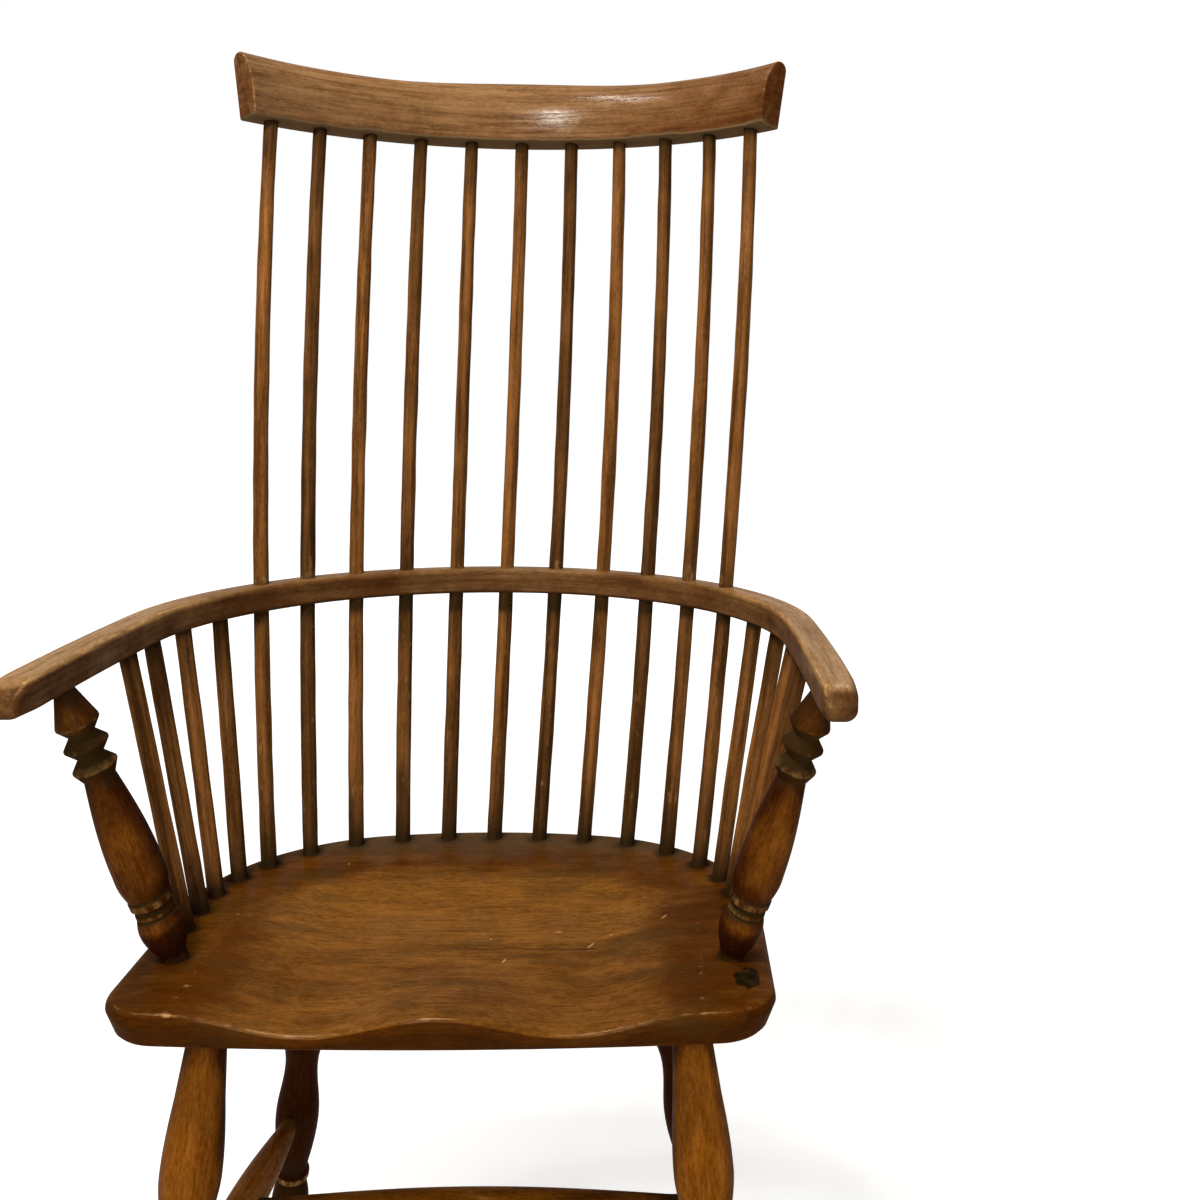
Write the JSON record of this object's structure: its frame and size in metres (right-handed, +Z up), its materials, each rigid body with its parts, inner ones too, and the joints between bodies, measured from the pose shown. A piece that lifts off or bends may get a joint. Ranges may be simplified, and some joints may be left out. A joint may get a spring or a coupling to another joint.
{
  "type": "windsor chair",
  "caption": "Comb-back Windsor armchair: saddled plank seat, bent arm bow on turned posts, tall stick back with a curved comb, turned legs and stretchers.",
  "frame": {"origin": "on the floor, under the middle of the chair's bounding box", "axes": "+Z up, -Y the way the sitter faces, +X to the right as seen from the front"},
  "size_m": [0.5778, 0.6716, 1.1962],
  "materials": {
    "seat_plank": "waxed and worn, satin",
    "bent_wood": "waxed and worn, satin",
    "spindle_wood": "waxed, dark at the joints",
    "turned_wood": "waxed, satin"
  },
  "bodies": {
    "root": {"seat": "seat_plank", "arm_bow": "bent_wood", "comb": "bent_wood", "long_spindle_01": "spindle_wood", "long_spindle_02": "spindle_wood", "long_spindle_03": "spindle_wood", "long_spindle_04": "spindle_wood", "long_spindle_05": "spindle_wood", "long_spindle_06": "spindle_wood", "long_spindle_07": "spindle_wood", "long_spindle_08": "spindle_wood", "long_spindle_09": "spindle_wood", "long_spindle_10": "spindle_wood", "long_spindle_11": "spindle_wood", "short_spindle_left_1": "spindle_wood", "short_spindle_left_2": "spindle_wood", "short_spindle_left_3": "spindle_wood", "short_spindle_left_4": "spindle_wood", "short_spindle_right_1": "spindle_wood", "short_spindle_right_2": "spindle_wood", "short_spindle_right_3": "spindle_wood", "short_spindle_right_4": "spindle_wood", "arm_post_left": "turned_wood", "arm_post_right": "turned_wood", "leg_front_left": "turned_wood", "leg_front_right": "turned_wood", "leg_rear_left": "turned_wood", "leg_rear_right": "turned_wood", "side_stretcher_left": "turned_wood", "side_stretcher_right": "turned_wood", "cross_stretcher": "turned_wood"}
  },
  "joints": []
}
